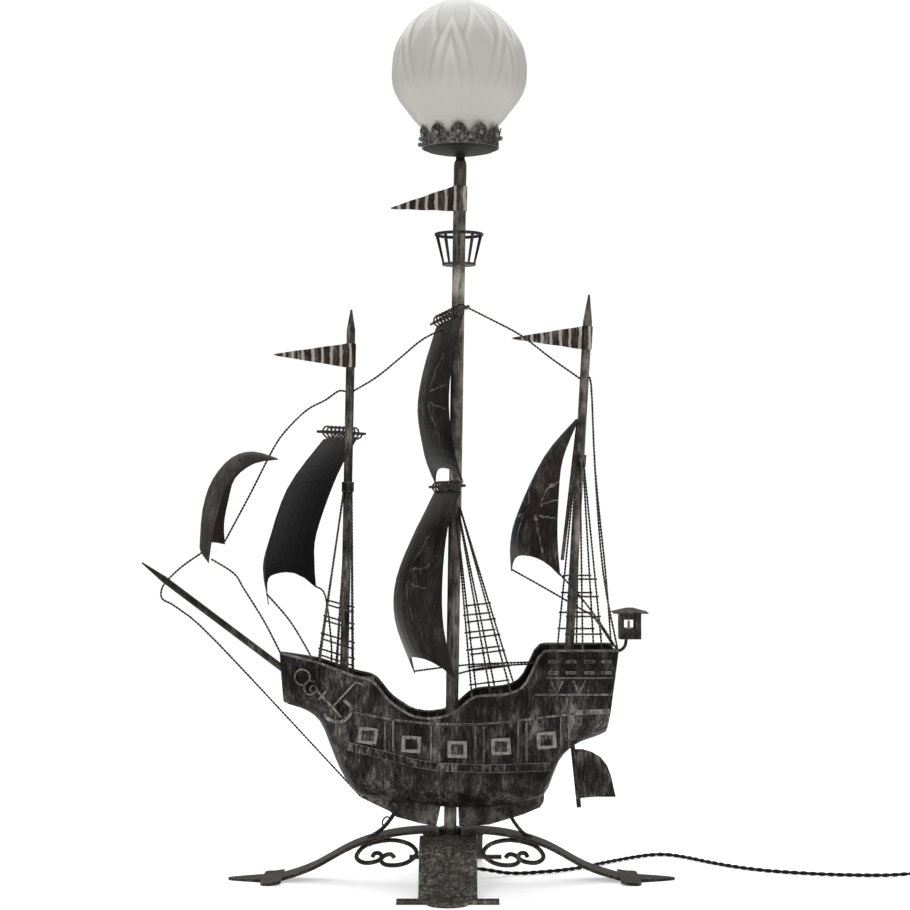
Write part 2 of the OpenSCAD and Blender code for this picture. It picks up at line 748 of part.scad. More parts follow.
module pennant_at(foot, tip, r, z_low, z_high, end) {
    m = mast_at(foot, tip, z_low);
    difference() {
        rod(mast_at(foot, tip, z_low), mast_at(foot, tip, z_high), r + 1.2, r + 1.2);
        rod(mast_at(foot, tip, z_low - 4), mast_at(foot, tip, z_high + 4), r + 0.05, r + 0.05);
    }
    pennant([m[0] - r - 0.6, 0, 0], z_low, z_high, end);
}

module pennants() {
    color(rust) placed() {
        pennant_at(mast_foot, mast_top, tube_r, 736, 763, [-65, 0, 739]);
        pennant_at(fore_foot, fore_tip, fore_r, 564, 590, [-194, 0, 578]);
        pennant_at(mizzen_foot, mizzen_tip, mizzen_r, 584, 609, [68, 0, 596]);
    }
}

module bowsprit() {
    color(bronze) placed() {
        rod(bowsprit_foot, between(bowsprit_foot, bowsprit_tip, 0.85), 3.75, 3.75);
        rod(between(bowsprit_foot, bowsprit_tip, 0.845), bowsprit_tip, 3.73, 0.8);
    }
}

// ---------- rigging ----------

module stay(points) {
    wire(smooth(points, 4), rope_r, [0, 1, 0.02], 6);
}

module stays() {
    color(iron) placed() {
        stay([[-12, -2, 602.5], [-28, -2, 594], [-55, -2, 573], [-80, -1, 549], [-108, 0, 537]]);
        stay([[14.6, -7.6, 634], [44, -5, 617], [78, -5, 599], [111, -3.5, 574], [142, -0.5, 552.4]]);
        stay([[-112, 0, 536], [-122, -2, 538], [-137, 0, 528], [-158, 4, 517], [-181, 9, 495],
            [-196, 13, 474], [-222, 19, 424], [-250, 24.4, 373.4]]);
        stay([[-271, -10, 361], [-293, -5, 346], [-309, 2, 332], [-317.5, 5, 321], [-317, 4, 309],
            [-300, 2, 299], [-256, 0, 261], [-98, -2, 92]]);
        stay([[-260, -23, 354], [-236, -16, 338], [-226, -13, 322], [-203, -9, 284], [-187, -6, 252.6]]);
        stay([[-193, -52.6, 313], [-174, -44, 290], [-158, -32, 262], [-149.8, -22.4, 245.8]]);
        stay([[-151, 54, 320], [-140, 44, 310], [-133, 34, 262], [-132, 27, 238]]);
        stay([[155.2, 3.6, 548], [156, 4, 543], [160.5, 9, 450], [173, 20, 333], [180, 38, 258]]);
        stay([[155, -3.6, 548], [155.6, -4, 543], [159, -9, 450], [166.8, -22, 340], [181, -40, 258]]);
        stay([[71.4, 33.6, 339], [105, 28, 320], [143, 22, 298], [160, 19, 287], [181, 14, 256]]);
        stay([[119.6, -44, 337.2], [140, -46, 315], [162, -45.5, 286], [181, -40, 257]]);
        stay([[5, -59, 231.2], [38, -13, 236], [96, -10, 239]]);
        stay([[-40, 61, 224], [20, 30, 234], [96, 10, 239]]);
    }
}

// Three shrouds from a mast down to the rail, with rungs between the outer two.
module shroud_net(top, feet, rungs, spread) {
    heads = [for (i = [0 : 2]) top + [(i - 1) * spread, 0, 0]];
    for (i = [0 : 2])
        rod(feet[i], heads[i], rope_r, rope_r);
    for (t = rungs)
        rod(between(feet[0], heads[0], t) + [-2, 0, 0], between(feet[2], heads[2], t) + [2, 0, 0],
            rung_r, rung_r);
}

function feet_at(xs, s) = [for (x = xs) [x, s * (breadth(x) - 0.4), along(rail_line, x) + 2.8]];

module shrouds_main() {
    top = mast_at(mast_foot, mast_top, 410);
    color(iron) placed() {
        shroud_net(top + [3, -8.4, 0], feet_at([24, 44, 66], -1), [0.07, 0.16, 0.25, 0.34, 0.43], 2.4);
        shroud_net(top + [3, 8.4, 0], feet_at([29, 50, 71], 1), [0.1, 0.19, 0.28, 0.37, 0.46], 2.4);
    }
}

module shrouds_fore() {
    top = mast_at(fore_foot, fore_tip, 426);
    color(iron) placed() {
        shroud_net(top + [0, -6, 0], feet_at([-142, -123, -106], -1), [0.05, 0.14, 0.245, 0.335], 4);
        shroud_net(top + [0, 6, 0], feet_at([-146, -127, -108], 1), [0.06, 0.15, 0.253, 0.346], 4);
    }
}

module shrouds_mizzen() {
    top = mast_at(mizzen_foot, mizzen_tip, 454);
    color(iron) placed() {
        shroud_net(top + [0, -6.4, 0], feet_at([125, 143, 164], -1), [0.087, 0.179, 0.283, 0.375], 4);
        shroud_net(top + [0, 6.4, 0], feet_at([121, 142, 161], 1), [0.085, 0.175, 0.285, 0.38], 4);
    }
}

// ---------- lamp fittings ----------

// Threaded tube that joins the mast, the gallery and the lampholder, with a waisted collar.
module nipple() {
    color(brass) placed() translate([gallery_x, 0, 0]) rotate_extrude()
        polygon([[3.6, 780], [5.75, 780], [5.75, 791], [5.2, 791.6], [4.8, 794], [5.4, 796], [8, 797.9],
            [4.9, 797.9], [4.9, 806], [3.6, 806]]);
}

// Shallow dish that the globe's neck stands in.
module gallery() {
    color(iron) placed() translate([gallery_x, 0, 0]) rotate_extrude()
        polygon([[5, 798], [12, 798.2], [26, 799.6], [36, 801.8], [crown_r - 0.1, 804.2],
            [crown_r - 0.1, 807], [crown_r - 1, 807], [crown_r - 1, 805.6], [35.5, 803.4],
            [26, 801.2], [12, 799.8], [5, 799.6]]);
}

// What is cut away between two lobes, laid flat with up along +Y.
module lobe_gap() {
    difference() {
        translate([-lobe_gap_x, 0]) square([2 * lobe_gap_x, 20]);
        for (s = [-1, 1])
            translate([s * lobe_gap_x, 0]) circle(r = lobe_r);
    }
}

// Scalloped strip round the gallery, its lobes bent outwards.
module crown() {
    color(silver) placed() translate([gallery_x, 0, 0]) difference() {
        rotate_extrude()
            polygon([[crown_r, 804.5], [crown_r + 1.4, 804.5], [crown_r + 1.4, 813],
                [crown_r + 4.6, 828], [crown_r + 3.2, 828], [crown_r, 813]]);
        for (i = [0 : lobes - 1])
            rotate([0, 0, lobe_angle(i + 0.5)]) translate([0, 0, rivet_z])
                rotate([90, 0, 90]) linear_extrude(height = 60) lobe_gap();
        for (i = [0 : 2])
            rotate([0, 0, screw_angle(i)]) translate([crown_r, 0, screw_z])
                rotate([0, 90, 0]) cylinder(h = 20, r = screw_r + 0.07, center = true);
    }
}

// Ball-headed rivets, one on each lobe.
module crown_rivets() {
    color(silver) placed() translate([gallery_x, 0, 0])
        for (i = [0 : lobes - 1])
            rotate([0, 0, lobe_angle(i)]) translate([crown_r + 3.4, 0, rivet_z]) sphere(r = 2.7);
}

// Ball-headed screw that holds the globe's neck.
module screw(i) {
    tip = neck_r + 0.3 + (globe_x - gallery_x) * cos(screw_angle(i));
    color(silver) placed() translate([gallery_x, 0, 0]) rotate([0, 0, screw_angle(i)]) {
        translate([tip, 0, screw_z]) rotate([0, 90, 0]) cylinder(h = crown_r + 5.2 - tip, r = screw_r);
        translate([crown_r + 5.6, 0, screw_z]) sphere(r = 2.6);
    }
}

module screw_1() {
    screw(0);
}

module screw_2() {
    screw(1);
}

module screw_3() {
    screw(2);
}

// Moulded globe: a flattened ball on a flared neck, open below.
module globe() {
    s = globe_d / 150;
    outer = [[neck_r, 805.6], [neck_r, 813], [39, 817.5], [40.5, 822], [42, 827], [45.6, 832],
        [51, 838], [57, 846], [64.5, 855.5], [70, 864.5], [73.2, 873], [74.6, 882], [75, 893],
        [74.2, 904], [72, 914], [68, 923.5], [62.5, 932], [55.5, 940.5], [48, 948], [39, 955.5],
        [29, 961.5], [19, 965.5], [10, 967.5], [0, 968]];
    inner = [for (i = [len(outer) - 1 : -1 : 0])
        let(p = outer[i])
            i < 5 ? [p[0] - glass_t, p[1]]
                : [p[0] * (1 - glass_t / 75), globe_z + (p[1] - globe_z) * (1 - glass_t / 75)]];
    color(glass) placed() translate([globe_x, 0, 0]) rotate_extrude()
        polygon(concat([for (p = outer) [p[0] > 50 ? p[0] * s : p[0], p[1]]], inner));
}

module bulb() {
    color(white) placed() translate([gallery_x, 0, 0]) rotate_extrude()
        polygon([[0, 816], [4.5, 816], [6, 819], [12.9, 821], [12.9, 845], [14.5, 848], [16, 856],
            [20, 864], [26, 873], [29.3, 882], [30, 890], [28.5, 900], [24, 908.5], [17, 915.5], [9, 919],
            [0, 920]]);
}

module lampholder() {
    color(black) placed() translate([gallery_x, 0, 0]) rotate_extrude()
        polygon([[5.2, 801], [16, 801], [18.5, 803.5], [18.5, 843], [17.5, 844.5], [13.4, 844.5],
            [13.4, 814], [5.2, 812]]);
}

// Flexible cable inside the mast, from the bush to the lampholder.
module wiring() {
    color(black) placed() rod([0, 0, 44.5], [11.3, 0, 799], 2.4, 2.4);
}

// Bush under the hub nut where the flex leaves the tube.
module bush() {
    color(black) placed() difference() {
        union() {
            translate([0, 0, 36]) cylinder(h = 5.9, r1 = 5, r2 = 5.6);
            translate([0, 0, 30]) cylinder(h = 6, r1 = 3.6, r2 = 4.6);
        }
    }
}

module cord() {
    color(black) placed() wire(smooth(cord_route, 3), cord_r, [0.15, 1, 0.5], 8);
}

// Outer shape of the tied coil that the rest of the flex is wound into.
module coil() {
    color(black) placed() translate([coil_x, coil_y, 0])
        rotate_extrude()
            translate([coil_r - coil_w / 2, 0]) square([coil_w, coil_h]);
}

// Inline switch on the flex, with a rocker on two trunnions.
module switch_body() {
    color(black) placed() translate([switch_x, switch_y, 0]) difference() {
        union() {
            translate([-switch_l / 2 + switch_w / 2, -switch_w / 2, 0])
                cube([switch_l - switch_w, switch_w, switch_h]);
            for (s = [-1, 1])
                translate([s * (switch_l - switch_w) / 2, 0, 0]) cylinder(h = switch_h, r = switch_w / 2);
        }
        translate([0, 0, switch_h]) cube([2 * rocker_r + 1, 10, 10], center = true);
        translate([0, 0, switch_h - 2]) rotate([90, 0, 0]) cylinder(h = 15, r = 1.55, center = true);
    }
}

module switch_rocker() {
    color(white) placed() translate([switch_x, switch_y, switch_h - 2]) rotate([90, rocker_tilt, 0]) {
        linear_extrude(height = 9.4, center = true)
            polygon([[-rocker_r, -0.6], [-3, -1.9], [3, -1.9], [rocker_r, -0.6], [rocker_r, 2.6],
                [0, 3.6], [-rocker_r, 2.6]]);
        cylinder(h = 14, r = 1.5, center = true);
    }
}

// Two-pin plug lying beside the coil, its sleeve towards the coil.
module plug() {
    color(black) placed() translate([plug_x, plug_y, 0]) {
        linear_extrude(height = plug_h)
            polygon([[-4, 14], [4, 14], [6, 20], [13, 32], [13, 46], [11, 48], [-11, 48], [-13, 46],
                [-13, 32], [-6, 20]]);
        rod([0, 0, 5.5], [0, 16, 6.5], 3.2, 4.2);
    }
}

module plug_pins() {
    color(brass) placed() for (s = [-1, 1])
        rod([plug_x + s * pin_gap / 2, plug_y + 40, plug_h / 2],
            [plug_x + s * pin_gap / 2, plug_y + 67, plug_h / 2], 2, 2);
}

leg_fore();
leg_aft();
leg_front();
leg_back();
hub();
hub_nut();
scrolls();
struts();
mast_tube();
hull_port();
hull_starboard();
keel_plates();
transom();
deck_fore();
deck_waist();
deck_poop();
rails();
wales();
gun_ports();
pilasters();
stern_trim();
anchor();
rudder();
lantern_house();
lantern_candle();
fore_mast();
mizzen_mast();
mast_collars();
crows_nest();
yards();
yard_coils();
sail_fore();
sail_course();
sail_topsail();
sail_mizzen();
sail_bow();
pennants();
bowsprit();
stays();
shrouds_main();
shrouds_fore();
shrouds_mizzen();
gallery();
crown();
crown_rivets();
screw_1();
screw_2();
screw_3();
globe();
bulb();
lampholder();
nipple();
wiring();
bush();
cord();
coil();
switch_body();
switch_rocker();
plug();
plug_pins();
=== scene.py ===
"""Looks of a wrought-iron galleon lamp: bow towards -X, port side towards -Y, standing on z = 0.

Everything is in metres, but for the outlines and routes, which are in millimetres from the mast's foot.
"""
import math

import bpy
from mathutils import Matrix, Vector


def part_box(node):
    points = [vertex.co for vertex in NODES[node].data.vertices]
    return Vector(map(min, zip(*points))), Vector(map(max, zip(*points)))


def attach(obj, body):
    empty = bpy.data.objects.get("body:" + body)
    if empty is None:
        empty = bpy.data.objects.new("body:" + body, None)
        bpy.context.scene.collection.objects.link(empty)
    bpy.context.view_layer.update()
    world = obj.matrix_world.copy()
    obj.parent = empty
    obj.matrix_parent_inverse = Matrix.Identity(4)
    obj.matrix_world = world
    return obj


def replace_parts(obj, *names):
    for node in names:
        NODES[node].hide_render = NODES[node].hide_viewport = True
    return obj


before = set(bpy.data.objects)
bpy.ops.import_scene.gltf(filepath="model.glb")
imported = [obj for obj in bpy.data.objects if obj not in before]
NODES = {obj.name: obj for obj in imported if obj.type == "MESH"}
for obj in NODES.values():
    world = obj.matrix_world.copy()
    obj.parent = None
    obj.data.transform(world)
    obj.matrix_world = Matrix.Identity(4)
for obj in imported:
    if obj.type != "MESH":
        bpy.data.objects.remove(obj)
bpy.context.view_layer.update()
scene = bpy.context.scene
MM = 0.001


def middle_x(node):
    """Middle of a CAD node's box along X, to a tenth of a millimetre."""
    low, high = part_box(node)
    return round((low[0] + high[0]) / 2, 4)


MAST_X = middle_x("hub")
SHADE_X = middle_x("globe")

# ---------------------------------------------------------------- camera and light

# Lens and sensor in millimetres, the camera's place, how far the picture is shifted up, and the strength
# of the white world as it lights the lamp and as the camera sees it.
LENS = 79.1
SENSOR = 36.0
EYE = (MAST_X + 0.0055, -2.2, 0.44)
RISE = 0.0275
WORLD_LIGHT = 0.42
WORLD_SEEN = 1.03


def make_camera():
    data = bpy.data.cameras.new("camera")
    data.lens = LENS
    data.sensor_width = SENSOR
    data.shift_y = RISE
    data.clip_start = 0.05
    data.clip_end = 40
    obj = bpy.data.objects.new("camera", data)
    scene.collection.objects.link(obj)
    obj.location = EYE
    obj.rotation_euler = (math.pi / 2, 0, 0)
    scene.camera = obj


def area(name, place, aim, size, watts):
    """A rectangular light at a place, turned towards aim."""
    data = bpy.data.lights.new(name, "AREA")
    data.shape = "RECTANGLE"
    data.size, data.size_y = size
    data.energy = watts
    obj = bpy.data.objects.new(name, data)
    scene.collection.objects.link(obj)
    obj.location = place
    obj.rotation_euler = (Vector(aim) - Vector(place)).to_track_quat("-Z", "Y").to_euler()


def make_lights():
    """Soft lights from the front left, the front right and above, and one that whitens the floor behind."""
    area("key", (-1.1, -1.9, 1.9), (0, 0, 0.45), (1.2, 1.2), 15)
    area("fill", (1.5, -1.7, 1.2), (0, 0, 0.4), (1.0, 1.4), 7)
    area("top", (0.1, 0.1, 2.4), (0, 0, 0.4), (1.6, 1.2), 9)
    area("floor_glow", (0.05, 1.4, 2.2), (0.05, 1.5, 0), (4.0, 2.0), 40)


def make_world():
    """White all round, and brighter to the camera than it shines on the lamp."""
    world = bpy.data.worlds.new("studio")
    scene.world = world
    world.use_nodes = True
    back = world.node_tree.nodes["Background"]
    back.inputs["Color"].default_value = (1, 1, 1, 1)
    path = world.node_tree.nodes.new("ShaderNodeLightPath")
    choose = world.node_tree.nodes.new("ShaderNodeMapRange")
    choose.inputs["To Min"].default_value = WORLD_LIGHT
    choose.inputs["To Max"].default_value = WORLD_SEEN
    world.node_tree.links.new(path.outputs["Is Camera Ray"], choose.inputs["Value"])
    world.node_tree.links.new(choose.outputs["Result"], back.inputs["Strength"])


make_camera()
make_world()
scene.view_settings.view_transform = "Standard"

# ---------------------------------------------------------------- node materials


class Mat:
    """A node material being built: small helpers round a Principled shader."""

    def __init__(self, name):
        self.m = bpy.data.materials.new(name)
        self.m.use_nodes = True
        self.nodes = self.m.node_tree.nodes
        self.links = self.m.node_tree.links
        self.shader = self.nodes["Principled BSDF"]
        self.coords = self.nodes.new("ShaderNodeTexCoord").outputs["Object"]

    def put(self, socket, value):
        """Links another node's output to a socket, or sets it to a number or a colour."""
        if isinstance(value, bpy.types.NodeSocket):
            self.links.new(value, socket)
        elif isinstance(value, (tuple, list)) and len(value) == 3 and socket.type == "RGBA":
            socket.default_value = (*value, 1)
        else:
            socket.default_value = value

    def set(self, **values):
        """Fills inputs of the shader, named with _ for a space."""
        for key, value in values.items():
            self.put(self.shader.inputs[key.replace("_", " ")], value)

    def stretched(self, along, share):
        """Coordinates squeezed to a share along one axis, which draws noise out into streaks along it."""
        node = self.nodes.new("ShaderNodeMapping")
        node.inputs["Scale"].default_value = [share if axis == along else 1 for axis in "xyz"]
        self.links.new(self.coords, node.inputs["Vector"])
        return node.outputs["Vector"]

    def noise(self, scale, detail=4, rough=0.6, vector=None):
        node = self.nodes.new("ShaderNodeTexNoise")
        node.inputs["Scale"].default_value = scale
        node.inputs["Detail"].default_value = detail
        node.inputs["Roughness"].default_value = rough
        self.links.new(vector or self.coords, node.inputs["Vector"])
        return node.outputs["Fac"]

    def dents(self, scale):
        node = self.nodes.new("ShaderNodeTexVoronoi")
        node.feature = "SMOOTH_F1"
        node.inputs["Scale"].default_value = scale
        self.links.new(self.coords, node.inputs["Vector"])
        return node.outputs["Distance"]

    def ramp(self, fac, stops):
        """Colour or grey by a value: stops are pairs of a position and a colour or a grey."""
        node = self.nodes.new("ShaderNodeValToRGB")
        elements = node.color_ramp.elements
        while len(elements) < len(stops):
            elements.new(0.5)
        for element, (at, value) in zip(elements, stops):
            element.position = at
            colour = (value, value, value) if isinstance(value, (int, float)) else value
            element.color = (*colour, 1)
        self.links.new(fac, node.inputs["Fac"])
        return node.outputs["Color"]

    def maths(self, op, a, b=0.5, c=0.5, clamp=False):
        """A maths node. Each of a, b and c is a number or another node's output."""
        node = self.nodes.new("ShaderNodeMath")
        node.operation = op
        node.use_clamp = clamp
        for socket, value in zip(node.inputs, (a, b, c)):
            self.put(socket, value)
        return node.outputs[0]

    def mix(self, fac, a, b, blend="MIX"):
        node = self.nodes.new("ShaderNodeMix")
        node.data_type = "RGBA"
        node.blend_type = blend
        factor, first, second, result = 0, 6, 7, 2
        self.put(node.inputs[factor], fac)
        self.put(node.inputs[first], a)
        self.put(node.inputs[second], b)
        return node.outputs[result]

    def times(self, a, b):
        return self.mix(1, a, b, "MULTIPLY")

    def bump(self, height, strength=0.3, distance=0.001, normal=None):
        node = self.nodes.new("ShaderNodeBump")
        node.inputs["Strength"].default_value = strength
        node.inputs["Distance"].default_value = distance
        self.links.new(height, node.inputs["Height"])
        if normal:
            self.links.new(normal, node.inputs["Normal"])
        return node.outputs["Normal"]

    def axis(self, name):
        node = self.nodes.new("ShaderNodeSeparateXYZ")
        self.links.new(self.coords, node.inputs[0])
        return node.outputs[name]


def flared_cross(mat, zc, yc):
    """Mask of the scratched outline of a cross with flared arms, on a sail that faces along X."""
    half_line, half_waist, flare = 0.0009, 0.004, 0.28
    heart, tall, broad = 0.006, 0.048, 0.03
    shake = 0.012
    wobble = mat.maths("MULTIPLY_ADD", mat.noise(60, 3), shake, -shake / 2)
    y = mat.maths("ABSOLUTE", mat.maths("ADD", mat.maths("SUBTRACT", mat.axis("Y"), yc), wobble))
    z = mat.maths("ABSOLUTE", mat.maths("ADD", mat.maths("SUBTRACT", mat.axis("Z"), zc), wobble))

    def arm(far, wide, reach):
        half_width = mat.maths("MULTIPLY_ADD", far, flare, half_waist)
        edge = mat.maths("ABSOLUTE", mat.maths("SUBTRACT", wide, half_width))
        line = mat.maths("LESS_THAN", edge, half_line)
        inside = mat.maths("LESS_THAN", far, reach)
        outside = mat.maths("GREATER_THAN", far, heart)
        return mat.maths("MULTIPLY", mat.maths("MULTIPLY", line, inside), outside)

    both = mat.maths("MAXIMUM", arm(z, y, tall), arm(y, z, broad))
    worn = mat.ramp(mat.noise(150, 3), [(0.38, 0.1), (0.6, 1.0)])
    return mat.maths("MULTIPLY", both, worn)


def edge_wear(mat, radius):
    """Mask of the worn edges of a piece, from how far a bevelled surface would turn away there."""
    bevel = mat.nodes.new("ShaderNodeBevel")
    bevel.samples = 4
    bevel.inputs["Radius"].default_value = radius
    geometry = mat.nodes.new("ShaderNodeNewGeometry")
    dot = mat.nodes.new("ShaderNodeVectorMath")
    dot.operation = "DOT_PRODUCT"
    mat.links.new(bevel.outputs["Normal"], dot.inputs[0])
    mat.links.new(geometry.outputs["Normal"], dot.inputs[1])
    turn = mat.maths("SUBTRACT", 1.0, dot.outputs["Value"])
    rubbed = mat.ramp(mat.noise(330, 3), [(0.36, 0.25), (0.58, 1.0)])
    return mat.maths("MULTIPLY", mat.ramp(turn, [(0.015, 0.0), (0.16, 1.0)]), rubbed)


# Middle of each gun port, in metres aft of the mast and above the floor, and half its breadth and height.
GUN_PORTS = [(-0.089, 0.163), (-0.042, 0.154), (0.008, 0.149), (0.055, 0.153), (0.104, 0.160)]
PORT_HALF = (0.0105, 0.009)


def port_frames(mat):
    """Mask of the rubbed rim round each gun port."""
    x, z = mat.axis("X"), mat.axis("Z")
    nearest = 10.0
    for aft, up in GUN_PORTS:
        dx = mat.maths("ABSOLUTE", mat.maths("SUBTRACT", x, aft + MAST_X))
        dz = mat.maths("ABSOLUTE", mat.maths("SUBTRACT", z, up))
        across = mat.maths("DIVIDE", dx, PORT_HALF[0])
        upright = mat.maths("DIVIDE", dz, PORT_HALF[1])
        nearest = mat.maths("MINIMUM", mat.maths("MAXIMUM", across, upright), nearest)
    rubbed = mat.ramp(mat.noise(260, 3), [(0.34, 0.35), (0.55, 1.0)])
    rim = mat.ramp(nearest, [(0.58, 0.0), (0.68, 1.0), (1.5, 1.0), (1.6, 0.0)])
    return mat.maths("MULTIPLY", rim, rubbed)


def brushed_iron(name, dark, light, amount=0.5, along="z", fine=700, coarse=60, shine=0.45,
                 hammer=0.0, warm=None, contrast=0.09, cross=None, stripes=None, edges=0.0, worn=0.9,
                 gloss=0.12, squash=0.13, framed=False, dim=None):
    """Black sheet iron with dull silver brushed over it in streaks along one axis.

    amount is how much silver there is, and a smaller contrast gives it harder edges. fine and coarse are
    the scales of its streaks and patches, and a smaller squash draws the streaks out longer. warm is a
    brown that shows in patches, hammer the scale of dents, cross the middle of a scratched cross, and
    stripes the spacing of light stripes. edges is the radius over which edges are rubbed bright, and worn
    how strongly. framed rubs the rims of the gun ports. dim is two heights and a tone: the colour is
    multiplied by the tone at the first, and not at all from the second on.
    """
    mat = Mat(name)
    streak = mat.noise(fine, 4, 0.75, mat.stretched(along, squash))
    patch = mat.noise(coarse, 5, 0.65, mat.stretched(along, 0.4))
    total = mat.maths("ADD", mat.maths("MULTIPLY", streak, 0.5), mat.maths("MULTIPLY", patch, 0.5))
    low = 0.5 + (0.5 - amount) * 0.3 - contrast
    high = min(1, low + 2 * contrast)
    cover = mat.ramp(total, [(max(0, low), 0.0), (low + contrast, 0.24), (high, 1.0)])
    cloud = mat.ramp(mat.noise(19, 4), [(0.36, 0.15), (0.66, 1.0)])
    cover = mat.maths("MULTIPLY", cover, cloud)
    if framed:
        cover = mat.maths("MAXIMUM", cover, mat.maths("MULTIPLY", port_frames(mat), 0.85))
    colour = mat.mix(cover, dark, light)
    if warm:
        tint = mat.ramp(mat.noise(coarse * 0.6, 4), [(0.48, 0.0), (0.66, 0.7)])
        colour = mat.mix(tint, colour, warm)
    if cross:
        colour = mat.mix(mat.maths("MULTIPLY", flared_cross(mat, *cross), 0.8), colour,
                         tuple(1.6 * c for c in light))
    if stripes:
        turns = mat.maths("MULTIPLY", mat.axis("X"), 2 * math.pi / stripes)
        uneven = mat.maths("MULTIPLY", mat.noise(45, 2), 3.5)
        wave = mat.maths("SINE", mat.maths("ADD", turns, uneven))
        colour = mat.mix(mat.ramp(wave, [(0.35, 0.0), (0.85, 0.85)]), colour, light)
    if edges:
        colour = mat.mix(mat.maths("MULTIPLY", edge_wear(mat, edges), worn), colour,
                         tuple(min(0.5, 1.5 * c) for c in light))
    # Darker towards one height: on the topsail this is painted shade.
    if dim:
        low_z, high_z, tone = dim
        above = mat.maths("SUBTRACT", mat.axis("Z"), low_z)
        rise = mat.maths("DIVIDE", above, high_z - low_z, clamp=True)
        colour = mat.times(colour, mat.ramp(rise, [(0.0, tone), (1.0, 1.0)]))
    normal = mat.bump(total, 0.35, 0.0006)
    if hammer:
        normal = mat.bump(mat.dents(hammer), 0.6, 0.0012, normal)
    rough = mat.ramp(cover, [(0.0, shine - 0.05), (1.0, shine + 0.12)])
    mat.set(Base_Color=colour, Roughness=rough, Metallic=0.0, Normal=normal, Specular_IOR_Level=gloss)
    return mat.m


def plain(name, colour, rough, grain=900, depth=0.0001, metallic=0.0, gloss=0.5):
    """One colour, a little uneven in tone and sheen, with a fine grain."""
    mat = Mat(name)
    darker = tuple(c * 0.85 for c in colour)
    sheen = mat.ramp(mat.noise(grain * 0.1, 3), [(0.3, max(0.02, rough - 0.06)), (0.7, rough + 0.06)])
    mat.set(Base_Color=mat.mix(mat.noise(grain * 0.05, 3), darker, colour), Roughness=sheen,
            Metallic=metallic, Normal=mat.bump(mat.noise(grain, 3), 0.25, depth),
            Specular_IOR_Level=gloss)
    return mat.m


def satin_glass():
    """Moulded glass, satin white outside: mostly diffuse with a soft sheen."""
    mat = Mat("satin_glass")
    bottom, height = 0.808, 0.16
    up = mat.maths("MULTIPLY_ADD", mat.axis("Z"), 1 / height, -bottom / height)
    tone = mat.ramp(up, [(0.0, (0.50, 0.485, 0.45)), (0.45, (0.53, 0.505, 0.475)),
                         (0.8, (0.56, 0.555, 0.52)), (1.0, (0.56, 0.57, 0.53))])
    # Painted shade in the creases of the moulded leaves and painted highlight along their ridges, from a
    # value stored on the globe's mesh.
    painted_relief_light = mat.nodes.new("ShaderNodeAttribute")
    painted_relief_light.attribute_name = "painted_relief_light"
    shade = mat.ramp(painted_relief_light.outputs["Fac"], [(0.0, 0.80), (0.5, 0.97), (1.0, 1.22)])
    cloud = mat.ramp(mat.noise(26, 4), [(0.3, 0.95), (0.7, 1.0)])
    colour = mat.times(mat.times(tone, shade), cloud)
    mat.set(Base_Color=colour, Roughness=0.38, Normal=mat.bump(mat.noise(160, 3), 0.06, 0.0006),
            Specular_IOR_Level=0.45)
    return mat.m


